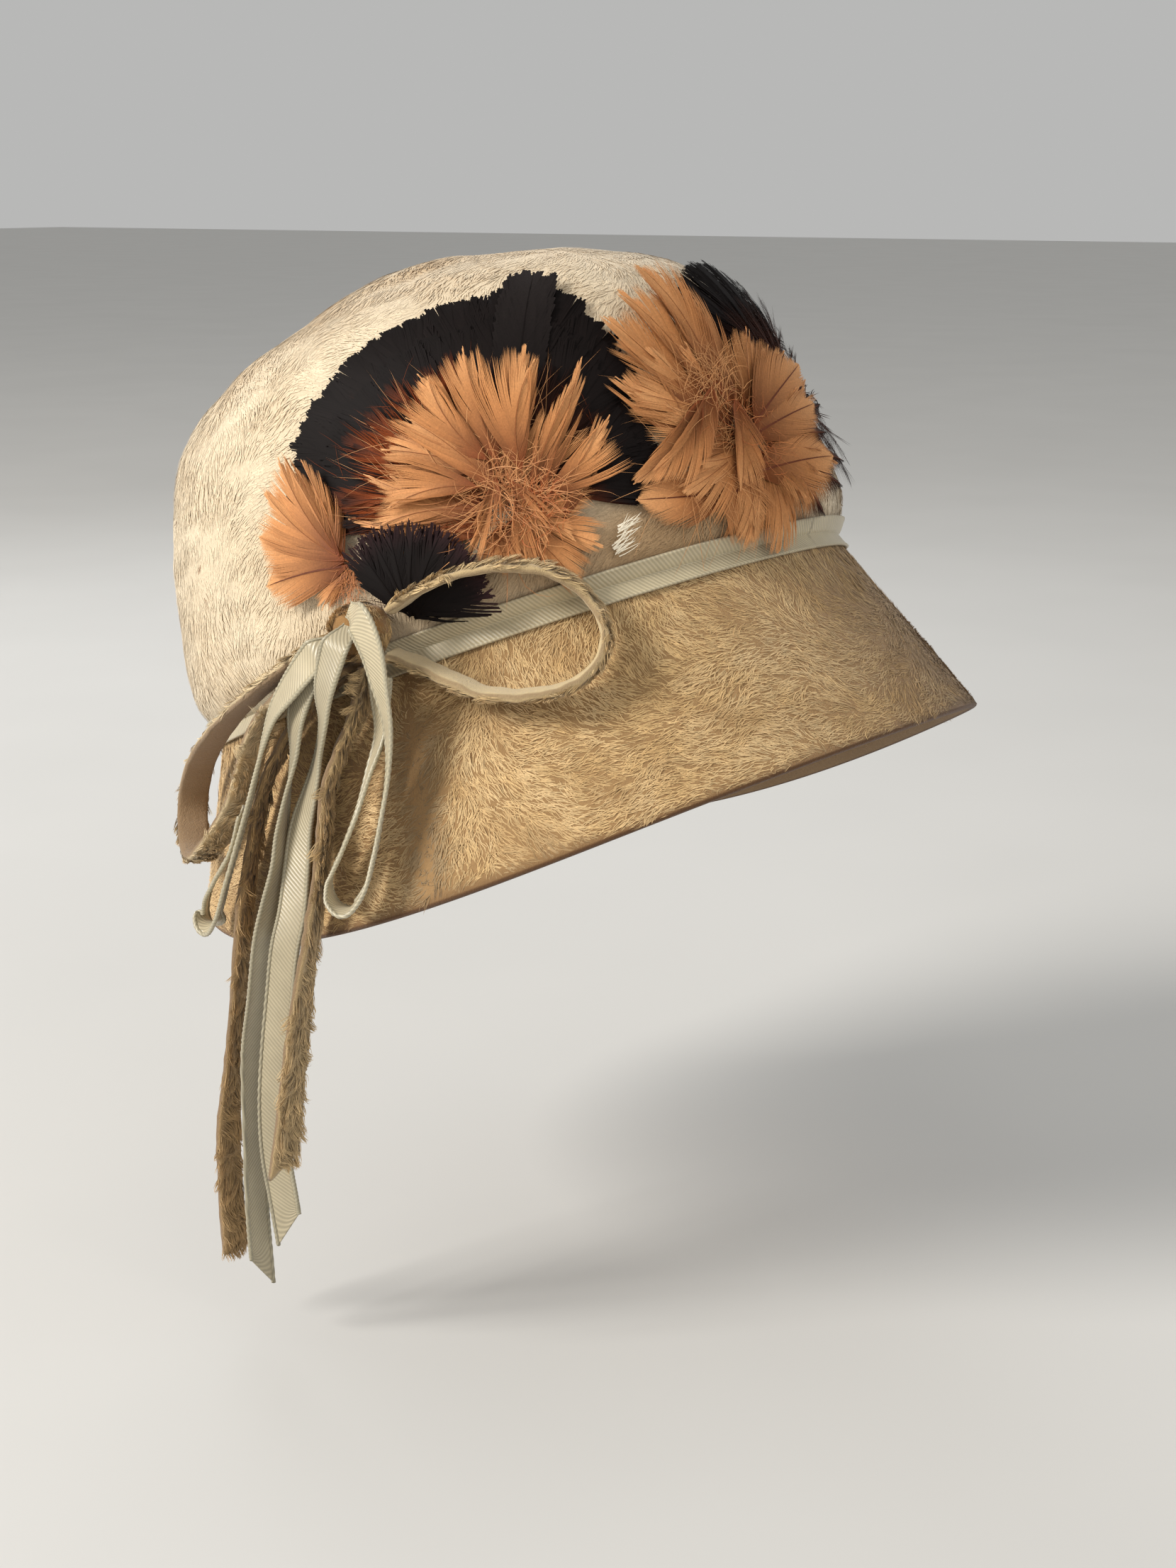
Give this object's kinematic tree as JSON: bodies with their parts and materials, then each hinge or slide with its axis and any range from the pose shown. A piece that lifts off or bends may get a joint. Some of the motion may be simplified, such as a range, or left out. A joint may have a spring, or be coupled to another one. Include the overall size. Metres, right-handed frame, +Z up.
{
  "type": "feather hat",
  "caption": "Fur felt hat with a deep round crown and a turned-down brim, a satin band, a bow with hanging felt and ribbon ends, and dark and tan feather rosettes.",
  "frame": {"origin": "middle of the headline, the oval where crown and brim meet, as the hat sits on a head", "axes": "+Z up as worn, -Y the way the hat faces, -X the wearer's right where the bow hangs; the hat itself is tipped back by 22.5 degrees"},
  "size_m": [0.2389, 0.2559, 0.2856],
  "materials": {
    "felt_crown": "brushed fur felt, cream, short nap",
    "felt_brim": "brushed fur felt, camel, long nap",
    "felt_strip": "cut fur felt, taupe inside",
    "satin": "ivory satin ribbon",
    "feather_dark": "black and dark brown feather",
    "feather_tan": "tan feather with burnt orange down"
  },
  "bodies": {
    "root": {"crown": "felt_crown", "brim": "felt_brim", "hat_band": "satin", "bow_knot": "felt_strip", "felt_loop_front": "felt_strip", "felt_loop_back": "felt_strip", "felt_tail_front": "felt_strip", "felt_tail_back": "felt_strip", "satin_loop_front": "satin", "satin_loop_back": "satin", "satin_tail_front": "satin", "satin_tail_back": "satin", "feathers_side_dark": "feather_dark", "feathers_low_dark": "feather_dark", "feathers_front_dark": "feather_dark", "feathers_side_tan": "feather_tan", "feathers_curled_tan": "feather_tan", "feathers_front_tan": "feather_tan"}
  },
  "joints": []
}
